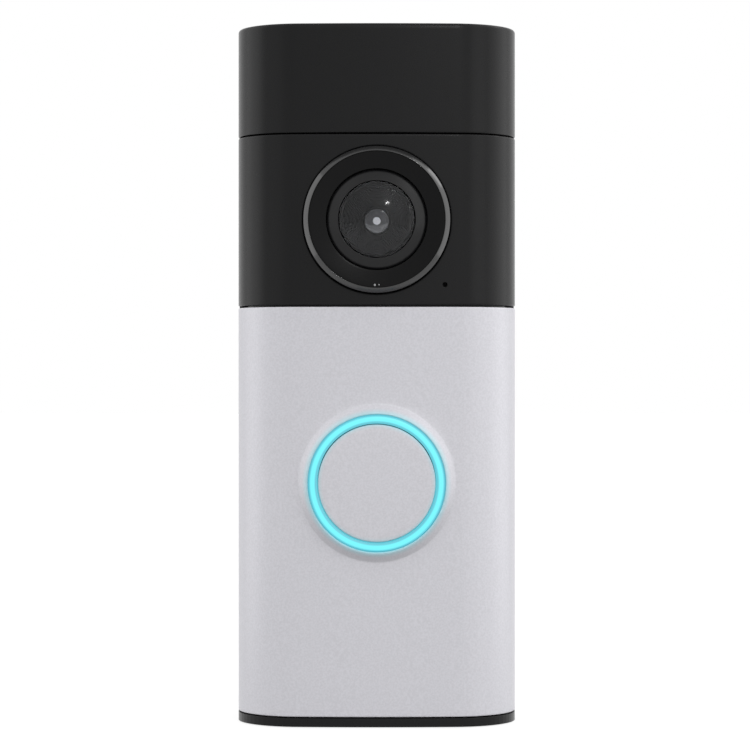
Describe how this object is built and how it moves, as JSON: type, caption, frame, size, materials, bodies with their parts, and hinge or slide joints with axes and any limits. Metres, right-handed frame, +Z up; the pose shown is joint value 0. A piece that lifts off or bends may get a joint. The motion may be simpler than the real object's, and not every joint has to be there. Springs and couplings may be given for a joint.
{
  "type": "video doorbell",
  "caption": "Slim battery video doorbell with a round camera, a push button inside a lit ring, a satin silver faceplate, a black housing and a wall bracket.",
  "frame": {"origin": "on the wall plane, at the centre of the four wall screw holes, behind the middle of the front", "axes": "+X to the right of someone facing the doorbell, +Y into the wall, +Z up"},
  "size_m": [0.051, 0.0285, 0.127],
  "materials": {
    "housing_black": "satin moulded plastic with a faint texture",
    "bracket_black": "matt moulded plastic",
    "silver_face": "satin metallic paint with a fine speckle",
    "camera_black": "semi-gloss black",
    "dark_window": "polished, dark, passes infrared",
    "optical_glass": "coated lens glass",
    "sensor_glass": "sensor with cover glass",
    "inner_black": "matt black plastic",
    "light_pipe": "frosted light guide, lit cyan",
    "lamp_white": "lamp package",
    "circuit_green": "green solder mask",
    "circuit_black": "black solder mask",
    "chip_resin": "moulded chip package",
    "tin_plate": "tinned sheet steel",
    "spring_steel": "spring steel strip",
    "screw_steel": "zinc plated screws",
    "brass_part": "plain brass",
    "battery_foil": "aluminium laminate pouch",
    "flex_film": "amber polyimide ribbon",
    "silicone_black": "black silicone rubber",
    "silicone_grey": "grey silicone rubber",
    "magnet_plate": "nickel plated magnet",
    "mesh_cloth": "fine acoustic mesh",
    "setup_orange": "orange push key",
    "polyethylene": "thin lens sheet that passes infrared"
  },
  "bodies": {
    "bracket": {"bracket_plate": "bracket_black", "bracket_clip": "spring_steel", "clip_rivets": "brass_part"},
    "unit": {"rear_housing": "housing_black", "front_housing": "housing_black", "top_cover": "housing_black", "housing_seal": "silicone_black", "housing_screws": "screw_steel", "cover_screws": "screw_steel", "main_board": "circuit_green", "shield_cans": "tin_plate", "board_chips": "chip_resin", "board_screws": "screw_steel", "battery_cell": "battery_foil", "battery_frame": "inner_black", "battery_lead": "flex_film", "camera_bezel": "camera_black", "ir_window": "dark_window", "ir_board": "circuit_black", "ir_leds": "lamp_white", "light_sensor": "sensor_glass", "camera_retainer": "inner_black", "camera_screws": "screw_steel", "lens_shroud": "camera_black", "front_element": "optical_glass", "lens_barrel": "inner_black", "inner_elements": "optical_glass", "lens_holder": "inner_black", "filter_coil": "brass_part", "sensor_board": "circuit_green", "image_sensor": "sensor_glass", "flex_cables": "flex_film", "microphone": "brass_part", "mic_boot": "silicone_grey", "motion_board": "circuit_green", "motion_sensors": "tin_plate", "fresnel_sheet": "polyethylene", "antenna": "tin_plate", "speaker_mesh": "mesh_cloth", "speaker_basket": "inner_black", "speaker_cone": "silicone_grey", "speaker_magnet": "magnet_plate", "light_ring": "light_pipe", "button_board": "circuit_black", "ring_leds": "lamp_white", "switch_body": "tin_plate", "button_guide": "inner_black", "button_membrane": "silicone_grey", "button_screws": "screw_steel", "usb_port": "tin_plate", "terminal_screws": "brass_part"},
    "faceplate": {"faceplate": "silver_face"},
    "button": {"button_cap": "silver_face", "button_plunger": "inner_black", "switch_stem": "inner_black"},
    "night_filter": {"filter_frame": "tin_plate", "filter_panes": "optical_glass"},
    "port_flap": {"port_cover": "silicone_black"},
    "setup_button": {"setup_key": "setup_orange"}
  },
  "joints": [
    {"name": "unit_tilt", "type": "hinge", "parent": "bracket", "child": "unit", "pos_m": [0, -0.00315, 0.0612], "axis": [-1, 0, 0], "range_deg": [0, 15], "deforming": ["bracket_clip"]},
    {"name": "faceplate_off", "type": "slide", "parent": "unit", "child": "faceplate", "axis": [0, -1, 0], "range_m": [0, 0.016]},
    {"name": "button_press", "type": "slide", "parent": "unit", "child": "button", "axis": [0, 1, 0], "range_m": [0, 0.0006], "stiffness_N_per_m": 1500, "deforming": ["button_membrane"]},
    {"name": "filter_shift", "type": "slide", "parent": "unit", "child": "night_filter", "axis": [1, 0, 0], "range_m": [0, 0.006]},
    {"name": "port_flap_swing", "type": "hinge", "parent": "unit", "child": "port_flap", "pos_m": [-0.0072, -0.0045, 0.005], "axis": [0, 0, 1], "range_deg": [0, 12]},
    {"name": "setup_press", "type": "slide", "parent": "unit", "child": "setup_button", "axis": [0, -1, 0], "range_m": [0, 0.0005], "stiffness_N_per_m": 800}
  ]
}
